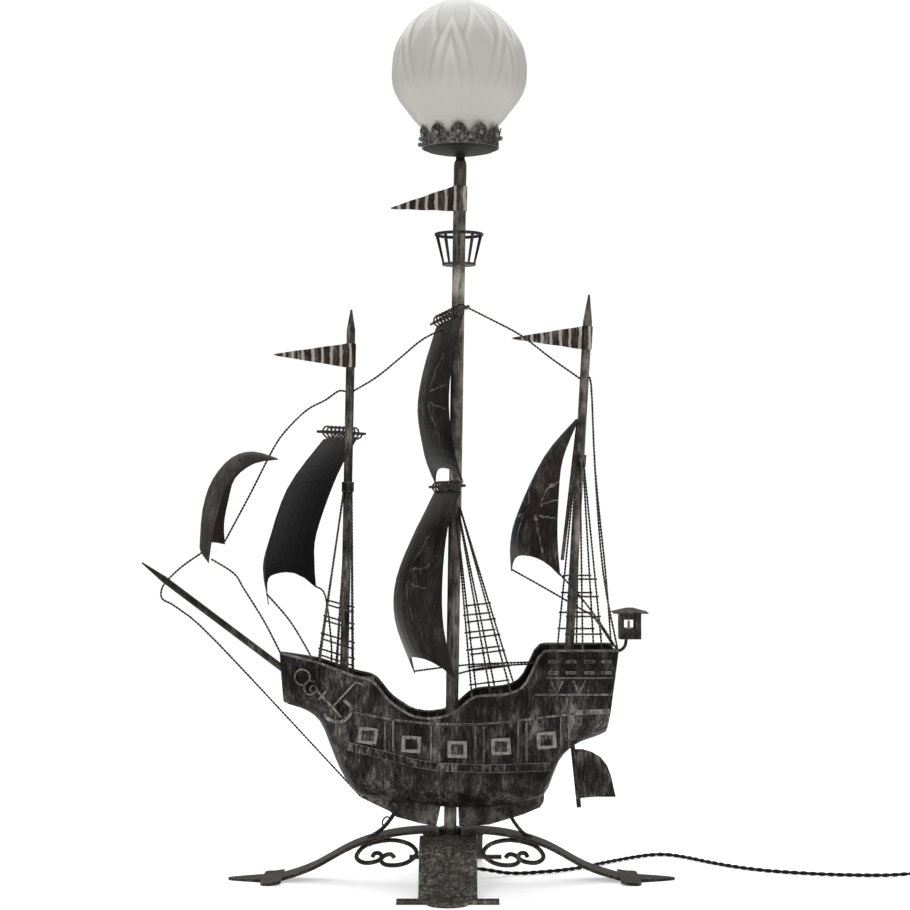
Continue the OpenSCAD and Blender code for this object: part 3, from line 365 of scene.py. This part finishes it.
BLACK = (0.004, 0.0037, 0.0033)
MATS = {
    "iron": brushed_iron("black_iron", BLACK, (0.06, 0.056, 0.05), 0.42),
    "smooth": brushed_iron("smooth_iron", (0.007, 0.007, 0.007), (0.013, 0.013, 0.013), 0.35, shine=0.6),
    "hull": brushed_iron("hull_iron", BLACK, (0.25, 0.233, 0.215), 0.43, fine=400, coarse=70, contrast=0.10,
                         squash=0.24, gloss=0.08, warm=(0.010, 0.007, 0.0055), dim=(0.25, 0.185, 0.6)),
    "silver": brushed_iron("dull_silver", (0.008, 0.007, 0.006), (0.30, 0.285, 0.265), 0.55, fine=420,
                           coarse=110, edges=0.0009),
    "port": brushed_iron("port_iron", (0.006, 0.005, 0.0045), (0.30, 0.285, 0.26), 0.42, fine=420,
                         coarse=120, contrast=0.07, edges=0.0010, squash=0.2, framed=True),
    "bright": brushed_iron("bright_iron", (0.03, 0.027, 0.022), (0.36, 0.335, 0.29), 0.62, along="none",
                           fine=420, coarse=140, edges=0.0008),
    "rope": brushed_iron("rope_iron", (0.007, 0.006, 0.0055), (0.19, 0.175, 0.155), 0.54, along="none",
                         fine=500, coarse=110),
    "course": brushed_iron("course_iron", (0.007, 0.0055, 0.005), (0.075, 0.068, 0.064), 0.42, fine=480,
                           coarse=38, warm=(0.016, 0.012, 0.010), cross=(0.335, -0.01)),
    # The topsail's colour is darkened towards its lower end: painted shade where the sail curves under.
    "topsail": brushed_iron("topsail_iron", (0.011, 0.009, 0.008), (0.10, 0.092, 0.087), 0.42, fine=480,
                            coarse=38, warm=(0.020, 0.016, 0.014), cross=(0.53, -0.01),
                            dim=(0.455, 0.51, 0.25), gloss=0.06),
    "lateen": brushed_iron("lateen_iron", (0.011, 0.009, 0.008), (0.15, 0.135, 0.125), 0.38, fine=420,
                           coarse=45, warm=(0.024, 0.016, 0.013), cross=(0.408, -0.012)),
    "olive": brushed_iron("olive_iron", (0.03, 0.024, 0.022), (0.10, 0.095, 0.085), 0.5, fine=260,
                          coarse=30, warm=(0.035, 0.025, 0.02)),
    "bronze": brushed_iron("bronze_iron", (0.010, 0.008, 0.0065), (0.10, 0.088, 0.075), 0.5, along="none",
                           fine=240, coarse=60, hammer=130, edges=0.0016),
    "rod": brushed_iron("rod_iron", (0.011, 0.010, 0.009), (0.15, 0.135, 0.118), 0.48, fine=420,
                        coarse=110),
    "mast": brushed_iron("mast_iron", (0.014, 0.012, 0.009), (0.42, 0.385, 0.335), 0.68, fine=330,
                         coarse=75, warm=(0.04, 0.025, 0.017), squash=0.08),
    "fore_mast": brushed_iron("fore_mast_iron", (0.008, 0.007, 0.006), (0.36, 0.335, 0.30), 0.48, fine=330,
                              coarse=75, squash=0.08),
    "plate": brushed_iron("plate_iron", (0.020, 0.016, 0.012), (0.30, 0.28, 0.25), 0.47, fine=520,
                          coarse=230, squash=0.4, contrast=0.10, hammer=130, edges=0.0012, worn=0.6),
    "keel": brushed_iron("keel_iron", (0.012, 0.010, 0.009), (0.27, 0.25, 0.225), 0.60, along="none",
                         fine=260, coarse=80, hammer=170),
    "rust": brushed_iron("pennant_iron", (0.018, 0.010, 0.008), (0.46, 0.42, 0.38), 0.34, fine=300,
                         coarse=70, stripes=0.0105),
    "crown": brushed_iron("crown_iron", (0.016, 0.013, 0.012), (0.27, 0.25, 0.235), 0.5, along="none",
                          fine=420, coarse=180, hammer=420, edges=0.0009, worn=0.7),
    "dish": plain("dish_iron", (0.008, 0.007, 0.0065), 0.6, 700, 0.0002, gloss=0.15),
    "glass": satin_glass(),
    "bulb": plain("opal_bulb", (0.80, 0.78, 0.74), 0.25, 300, 0.00002),
    "stud": plain("stud_steel", (0.20, 0.19, 0.18), 0.28, 700, 0.0002, 0.7),
    "brass": plain("old_brass", (0.55, 0.38, 0.16), 0.32, 500, 0.00006, 1.0),
    "black": plain("black_plastic", (0.012, 0.012, 0.012), 0.35, 900, 0.00006),
    "white": plain("candle_plastic", (0.75, 0.72, 0.62), 0.4, 700, 0.00005),
    "flex": plain("flex_plastic", (0.005, 0.005, 0.005), 0.5, 1200, 0.00005, gloss=0.15),
    "rubber": plain("rubber", (0.015, 0.015, 0.015), 0.6, 900, 0.0001),
}

NODE_MATS = {
    "leg_fore": "bronze", "leg_aft": "bronze", "leg_front": "plate", "leg_back": "bronze",
    "hub": "bronze", "hub_nut": "silver", "scrolls": "rod", "struts": "rod", "mast_tube": "mast",
    "hull_port": "hull", "hull_starboard": "hull", "keel_plates": "keel", "transom": "hull",
    "deck_fore": "iron", "deck_waist": "iron", "deck_poop": "iron", "rails": "silver",
    "wales": "port", "gun_ports": "port", "pilasters": "silver", "stern_trim": "silver",
    "anchor": "bright", "rudder": "hull", "lantern_house": "rod", "lantern_candle": "white",
    "fore_mast": "fore_mast", "mizzen_mast": "mast", "mast_collars": "silver", "crows_nest": "rod",
    "yards": "rod", "yard_coils": "rod", "sail_fore": "smooth", "sail_course": "course",
    "sail_topsail": "topsail", "sail_mizzen": "lateen", "sail_bow": "olive", "pennants": "rust",
    "bowsprit": "rod", "stays": "silver", "shrouds_main": "silver", "shrouds_fore": "silver",
    "shrouds_mizzen": "silver", "gallery": "dish", "crown": "crown", "crown_rivets": "stud",
    "screw_1": "stud", "screw_2": "stud", "screw_3": "stud", "globe": "glass", "bulb": "bulb",
    "lampholder": "black", "nipple": "dish", "wiring": "flex", "bush": "rubber", "cord": "flex",
    "coil": "flex", "switch_body": "black", "switch_rocker": "black", "plug": "black",
    "plug_pins": "brass",
}
for node, key in NODE_MATS.items():
    NODES[node].data.materials.clear()
    NODES[node].data.materials.append(MATS[key])

# ---------------------------------------------------------------- helpers for pieces


def spline(p, n):
    """Catmull-Rom curve through points, n steps for each gap."""
    out = []
    last = len(p) - 1
    for i in range(last):
        a, b, c, d = p[max(i - 1, 0)], p[i], p[i + 1], p[min(i + 2, last)]
        for j in range(n):
            t = j / n
            out.append(tuple(0.5 * (2 * q + (r - o) * t + (2 * o - 5 * q + 4 * r - s) * t * t
                                    + (3 * q - o - 3 * r + s) * t ** 3)
                             for o, q, r, s in zip(a, b, c, d)))
    out.append(tuple(p[last]))
    return out


def lerp(a, b, t):
    return tuple(x + (y - x) * t for x, y in zip(a, b))


def placed(p):
    """A point of an outline or route, given from the mast's foot, in the frame."""
    return Vector((p[0] * MM + MAST_X, p[1] * MM, p[2] * MM))


def mesh_piece(name, verts, faces, mat, body="base"):
    """A smooth-shaded mesh that rides on a body."""
    mesh = bpy.data.meshes.new(name)
    mesh.from_pydata(verts, [], faces)
    mesh.update()
    mesh.validate()
    obj = bpy.data.objects.new(name, mesh)
    scene.collection.objects.link(obj)
    mesh.materials.append(mat)
    for face in mesh.polygons:
        face.use_smooth = True
    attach(obj, body)
    return obj


def frames(points):
    """At each point of a path: the point, its direction, and two more that are square to it."""
    points = [Vector(p) for p in points]
    out = []
    u = None
    for i, p in enumerate(points):
        d = (points[min(i + 1, len(points) - 1)] - points[max(i - 1, 0)]).normalized()
        if u is None:
            hint = Vector((0, 0, 1)) if abs(d.z) < 0.9 else Vector((0, 1, 0))
            u = d.cross(hint).normalized()
        else:
            u = (u - d * u.dot(d)).normalized()
        out.append((p, d, u, d.cross(u)))
    return out


def resample(points, step):
    """The same path with its points an even step apart."""
    points = [Vector(p) for p in points]
    lengths = [0.0]
    for a, b in zip(points, points[1:]):
        lengths.append(lengths[-1] + (b - a).length)
    total = lengths[-1]
    count = max(2, int(round(total / step)))
    out = []
    k = 0
    for i in range(count + 1):
        s = total * i / count
        while k < len(points) - 2 and lengths[k + 1] < s:
            k += 1
        gap = lengths[k + 1] - lengths[k]
        out.append(points[k].lerp(points[k + 1], 0 if gap == 0 else (s - lengths[k]) / gap))
    return out


def tube_mesh(points, radius, sides, verts, faces):
    """Adds a closed tube along points."""
    start = len(verts)
    rings = frames(points)
    for p, _, u, v in rings:
        for k in range(sides):
            a = 2 * math.pi * k / sides
            verts.append(p + radius * (math.cos(a) * u + math.sin(a) * v))
    for i in range(len(rings) - 1):
        for k in range(sides):
            m = (k + 1) % sides
            a, b = start + i * sides, start + (i + 1) * sides
            faces.append((a + k, a + m, b + m, b + k))
    faces.append(tuple(start + k for k in reversed(range(sides))))
    faces.append(tuple(start + (len(rings) - 1) * sides + k for k in range(sides)))


def rope(paths, radius, pitch, verts, faces, sides=6, swell=0.48):
    """Adds two strands twisted along each path, inside radius. A larger swell makes thinner strands."""
    strands = 2
    strand = radius * (1 - swell)
    offset = radius - strand
    for path in paths:
        points = resample(path, pitch / 8)
        rings = frames(points)
        for s in range(strands):
            line = []
            run = 0.0
            for i, (p, _, u, v) in enumerate(rings):
                if i:
                    run += (points[i] - points[i - 1]).length
                a = 2 * math.pi * (run / pitch + s / strands)
                line.append(p + offset * (math.cos(a) * u + math.sin(a) * v))
            tube_mesh(line, strand, sides, verts, faces)


# ---------------------------------------------------------------- flex

CORD_D = 0.0046
CORD_TWIST = 0.02
# The route of the CAD's cord, from inside the base out over the floor.
ROUTE = [(0, 0, 30), (0.5, 0, 24), (5, 1, 17), (16, 3, 12.5), (32, 8, 10.5), (46, 14, 7.5),
         (60, 20, 4), (74, 25, 2.4), (90, 28, 2.4), (124, 42, 2.4), (152, 62, 2.4), (180, 90, 2.4),
         (212, 119, 2.4), (236, 135, 2.4), (256, 135, 2.4), (276, 117, 2.4), (298, 89, 2.4),
         (324, 62, 2.4), (356, 40, 2.4), (400, 24, 2.4), (440, 16, 2.4), (480, 14, 2.4),
         (510, 14, 4), (524, 14, 5), (550, 14, 5), (576, 14, 5), (594, 14, 3), (618, 14, 2.4)]
COIL_R = 24
COIL_X, COIL_Y = ROUTE[-1][0], ROUTE[-1][1] + COIL_R + CORD_D / MM
# Where each turn of the coil starts and ends: tracks out from the middle one and up from the floor.
TRACKS = [(0, 0), (1, 0), (-1, 0), (-1, 1), (0, 1), (1, 1), (0.5, 2), (-0.5, 2)]
TRACK_OUT, TRACK_UP = 4.45, 4.3
LYING_Z = ROUTE[-1][2]


def flex_path():
    """The route and then a coil, whose turns ease from each track to the next."""
    path = [Vector(p) for p in spline(ROUTE, 3)]
    turns, steps = len(TRACKS) - 1, 16
    for i in range(1, steps * turns + 1):
        t = i / steps
        k = min(int(t), turns - 1)
        f = t - k
        out, up = lerp(TRACKS[k], TRACKS[k + 1], f * f * (3 - 2 * f))
        r = COIL_R + out * TRACK_OUT
        w = 2 * math.pi * t - math.pi / 2
        path.append(Vector((COIL_X + r * math.cos(w), COIL_Y + r * math.sin(w), LYING_Z + up * TRACK_UP)))
    return [(p + Vector((MAST_X / MM, 0, 0))) * MM for p in path]


def make_flex():
    line = flex_path()
    verts, faces = [], []
    rope([line], CORD_D / 2, CORD_TWIST, verts, faces, 8, 0.4)
    flex = mesh_piece("flex_twisted", verts, faces, MATS["flex"])
    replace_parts(flex, "cord", "coil")


make_flex()

# ---------------------------------------------------------------- rigging


def lookup(table, x):
    """Value at x of a table of points, straight between them."""
    if x <= table[0][0]:
        return table[0][1]
    for (x0, v0), (x1, v1) in zip(table, table[1:]):
        if x <= x1:
            return v0 + (v1 - v0) * (x - x0) / (x1 - x0)
    return table[-1][1]


def eased(table, x):
    """Value at x of a table of points, with the corners rounded off."""
    reach = 4
    return (lookup(table, x - reach) + lookup(table, x) + lookup(table, x + reach)) / 3


# Height of the hull's rail and half the hull's breadth there, from bow to stern.
RAIL = [(-187, 250), (-146, 242), (-104, 227), (-85, 223), (-77, 215), (-70, 204), (-62, 197),
        (-42, 184), (-23, 181), (-4, 184), (10, 192), (22, 204), (32, 207), (55, 208), (70, 211),
        (81, 218), (88, 231), (93, 245), (99, 256), (185, 256)]
BREADTH = [(-187, 5), (-178, 10), (-165, 16), (-150, 21.5), (-130, 26.5), (-100, 31), (-70, 33),
           (-30, 34.5), (0, 37), (30, 42), (60, 46), (100, 48), (150, 47.5), (185, 46)]
# The wire's radius, and the length of one twist in the stays and shrouds and in the rungs, in metres.
WIRE_R, WIRE_TWIST, RUNG_TWIST = 0.00125, 0.0075, 0.006
# The routes of the stays between masts, bowsprit, sails and rail.
STAYS = [
    [(2, -2, 609), (-28, -2, 596), (-55, -2, 574), (-81, -1, 553), (-108, 0, 537)],
    [(10, -4, 634), (44, -3, 617), (78, -2, 599), (111, -1, 574), (144, 0, 551)],
    [(-112, 0, 536), (-122, -2, 538), (-137, 0, 528), (-158, 4, 517), (-181, 9, 495),
     (-196, 13, 474), (-222, 19, 424), (-251, 25, 371)],
    [(-271, -10, 361), (-293, -5, 346), (-309, 2, 332), (-317.5, 5, 321), (-317, 4, 309),
     (-300, 2, 299), (-256, 0, 261), (-98, -2, 92)],
    [(-260, -23, 354), (-236, -16, 338), (-226, -13, 322), (-203, -9, 284), (-186, -6, 250)],
    [(-197, -54, 318), (-174, -44, 290), (-158, -32, 262), (-149, -22, 243)],
    [(-151, 54, 320), (-140, 44, 310), (-133, 34, 262), (-132, 27, 238)],
    [(150, 1.5, 549), (155.5, 3, 545), (160.5, 9, 450), (173, 20, 333), (180, 38, 258)],
    [(150, -1.5, 549), (155, -3, 545), (159, -9, 450), (166.8, -22, 340), (181, -40, 258)],
    [(69, 34, 340), (105, 28, 320), (143, 22, 298), (160, 19, 287), (181, 14, 256)],
    [(118, -44, 339), (140, -44, 315), (162, -42, 286), (181, -40, 256)],
    [(3, -61, 231), (40, -20, 236), (96, -10, 239)],
    [(-40, 61, 224), (20, 30, 234), (96, 10, 239)],
]
# Shrouds of each mast, a net on either side: the mast's foot and tip, the height of the shrouds' heads,
# their place beside the mast, where their feet stand on the rail, the side, the heights of the rungs as
# shares of the way up, and the gap between the heads.
NETS = {
    "shrouds_main": [((-0.1, 0, 42), (11.3, 0, 790), 410, (3, -5), (24, 44, 66), -1,
                      (0.07, 0.16, 0.25, 0.34, 0.43), 2.4),
                     ((-0.1, 0, 42), (11.3, 0, 790), 410, (3, 5), (29, 50, 71), 1,
                      (0.1, 0.19, 0.28, 0.37, 0.46), 2.4)],
    "shrouds_fore": [((-116.6, 0, 222.6), (-108.5, 0, 627.5), 431, (0, -6), (-142, -123, -106), -1,
                      (0.05, 0.14, 0.245, 0.335), 4),
                     ((-116.6, 0, 222.6), (-108.5, 0, 627.5), 431, (0, 6), (-146, -127, -108), 1,
                      (0.06, 0.15, 0.253, 0.346), 4)],
    "shrouds_mizzen": [((130.3, 0, 240), (153, 0, 644), 460, (0, -6.4), (125, 143, 164), -1,
                        (0.087, 0.179, 0.283, 0.375), 4),
                       ((130.3, 0, 240), (153, 0, 644), 460, (0, 6.4), (121, 142, 161), 1,
                        (0.085, 0.175, 0.285, 0.38), 4)],
}


def make_stays():
    verts, faces = [], []
    rope([[placed(p) for p in spline(stay, 4)] for stay in STAYS], WIRE_R, WIRE_TWIST, verts, faces)
    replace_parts(mesh_piece("stays_twisted", verts, faces, MATS["rope"]), "stays")


def make_shrouds(name, nets):
    inset, overhang = 0.4, 2
    verts, faces = [], []
    for foot, tip, z, off, xs, side, rungs, spread in nets:
        top = lerp(foot, tip, (z - foot[2]) / (tip[2] - foot[2]))
        heads = [(top[0] + off[0] + (i - 1) * spread, off[1], top[2]) for i in range(3)]
        feet = [(x, side * (eased(BREADTH, x) - inset), eased(RAIL, x)) for x in xs]
        wires = [[placed(low), placed(high)] for low, high in zip(feet, heads)]
        rope(wires, WIRE_R, WIRE_TWIST, verts, faces)
        lines = []
        for t in rungs:
            a, b = lerp(feet[0], heads[0], t), lerp(feet[2], heads[2], t)
            lines.append([placed((a[0] - overhang, a[1], a[2])), placed((b[0] + overhang, b[1], b[2]))])
        rope(lines, WIRE_R, RUNG_TWIST, verts, faces, 5)
    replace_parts(mesh_piece(name + "_twisted", verts, faces, MATS["rope"]), name)


make_stays()
for name, nets in NETS.items():
    make_shrouds(name, nets)

# ---------------------------------------------------------------- moulded globe

# Outline of the glass, radius and height, from the rim of the neck to the top.
PROFILE = [(38, 805.6), (38, 813), (39, 817.5), (40.5, 822), (42, 827), (45.6, 832), (51, 838),
           (57, 846), (64.5, 855.5), (70, 864.5), (73.2, 873), (74.6, 882), (75, 893), (74.2, 904),
           (72, 914), (68, 923.5), (62.5, 932), (55.5, 940.5), (48, 948), (39, 955.5), (29, 961.5),
           (19, 965.5), (10, 967.5), (0, 968)]
# Thickness of the glass, and the heights of its widest ring and of its top.
WALL = 3.4
WIDEST_Z, TOP_Z = 893, 968
# Angle of the leaf at the front, in degrees, and then the rows of leaves: how many, height of foot and
# tip, half their width and the angle of the first in degrees, and how far they stand up.
FRONT = -97
LEAVES = [
    (7, 790, 966, 23.0, FRONT + 25.7, 0.0),
    (7, 780, 951, 20.0, FRONT, 1.1),
    (14, 770, 915, 9.0, FRONT + 12.9, 0.55),
    (7, 770, 925, 12.5, FRONT, 1.9),
]
# The relief's highest point, which lies on the outline: the rest is sunk into the glass.
HIGHEST = 2.9


def held(value):
    """The value held between 0 and 1."""
    return max(0.0, min(1.0, value))


def hump(x, width):
    """1 at x = 0, falling away to either side over about the width."""
    return math.exp(-(x / width) ** 2)


def leaf_relief(theta, z):
    """(height, edge) of the relief at an angle and height: overlapping rows of pointed leaves.

    height is in millimetres. edge is painted light and shade: 0.5 on plain glass, more along the ridge
    inside a leaf's border, where a highlight is painted, and less in the crease at the border, where shade
    is painted.
    """
    best, edge = 0.0, 0.5
    for count, foot_z, tip_z, half, shift, lift in LEAVES:
        if not foot_z < z < tip_z:
            continue
        t = (z - foot_z) / (tip_z - foot_z)
        width = half * (1 - max(0.0, (t - 0.45) / 0.55) ** 1.7)
        step = 360 / count
        a = (math.degrees(theta) - shift + step / 2) % step - step / 2
        inward = width - abs(a)
        if inward <= 0:
            continue
        rise = min(1.0, inward / 2.0)
        height = lift + 0.9 * rise * rise * (3 - 2 * rise) - 0.35 * hump(a, 1.5)
        if height > best:
            best = height
            # Painted highlight along the ridge and painted shade in the crease at the border, fainter lower
            # down the globe.
            ridge_highlight = hump(inward - 5.6, 2.2) * held((t - 0.45) * 2.5)
            crease_shade = hump(inward, 2.5)
            edge = 0.5 + (0.5 * ridge_highlight - 0.5 * crease_shade) * (0.15 + 0.85 * held((z - 855) / 55))
    return best, edge


def ring_faces(start, rows, count, inside_out=False):
    """Faces between rows of vertices, each row a ring of count."""
    faces = []
    for i in range(rows - 1):
        low, high = start + i * count, start + (i + 1) * count
        for k in range(count):
            m = (k + 1) % count
            face = (low + k, low + m, high + m, high + k)
            faces.append((face[1], face[0], face[3], face[2]) if inside_out else face)
    return faces


def make_globe():
    """One closed shell: moulded outside, smooth inside, joined at the rim of the neck."""
    cols = 480
    inner_cols = 60
    outer = spline(PROFILE, 8)
    verts, painted_relief_light = [], []
    for r, z in outer[:-1]:
        fade = held((z - 822) / 20) * min(1.0, r / 24)
        strength = 0.3 + 0.5 * held((z - 850) / 50)
        for k in range(cols):
            a = 2 * math.pi * k / cols
            height, edge = leaf_relief(a, z)
            # Painted light and shade of the leaves, kept on each vertex for the glass's colour.
            painted_relief_light.append(0.5 + (edge - 0.5) * fade)
            moulded = max(0.3, r + (height - HIGHEST) * fade * strength) * MM
            verts.append((moulded * math.cos(a) + SHADE_X, moulded * math.sin(a), z * MM))
    rows = len(outer) - 1
    faces = ring_faces(0, rows, cols)
    top = len(verts)
    verts.append((SHADE_X, 0, TOP_Z * MM))
    last = (rows - 1) * cols
    faces += [(last + k, last + (k + 1) % cols, top) for k in range(cols)]

    flat_top_r = 6
    inner_start = len(verts)
    inner = [(r - WALL, z) for r, z in outer[:-1:8] if r > flat_top_r]
    for r, z in inner:
        lowered = z - WALL * max(0, (z - WIDEST_Z) / (TOP_Z - WIDEST_Z))
        for k in range(inner_cols):
            a = 2 * math.pi * k / inner_cols
            verts.append((r * math.cos(a) * MM + SHADE_X, r * math.sin(a) * MM, lowered * MM))
    faces += ring_faces(inner_start, len(inner), inner_cols, inside_out=True)
    cap = inner_start + (len(inner) - 1) * inner_cols
    faces.append(tuple(cap + k for k in range(inner_cols - 1, -1, -1)))
    step = cols // inner_cols
    for k in range(inner_cols):
        rim = [(k * step + j) % cols for j in range(step + 1)]
        faces.append((inner_start + k, inner_start + (k + 1) % inner_cols, *reversed(rim)))

    piece = mesh_piece("globe_moulded", verts, faces, MATS["glass"], "globe")
    # The leaves' painted light and shade, stored on the mesh.
    layer = piece.data.attributes.new("painted_relief_light", "FLOAT", "POINT")
    layer.data.foreach_set("value", painted_relief_light + [0.5] * (len(verts) - len(painted_relief_light)))
    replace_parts(piece, "globe")


make_globe()

# ---------------------------------------------------------------- floor


def make_floor():
    """A white floor that glows a little, so that only soft shadows show on it."""
    left, right, near, far = -3, 3.5, -1.6, 2.2
    mesh = bpy.data.meshes.new("floor")
    corners = [(left, near, 0), (right, near, 0), (right, far, 0), (left, far, 0)]
    mesh.from_pydata(corners, [], [(0, 1, 2, 3)])
    floor = bpy.data.objects.new("floor", mesh)
    scene.collection.objects.link(floor)
    mat = Mat("floor")
    mat.set(Base_Color=(0.95, 0.95, 0.95), Roughness=0.9, Specular_IOR_Level=0.0,
            Emission_Color=(1, 1, 1), Emission_Strength=WORLD_LIGHT,
            Normal=mat.bump(mat.noise(300, 3), 0.02, 0.0002))
    mesh.materials.append(mat.m)


make_floor()
make_lights()
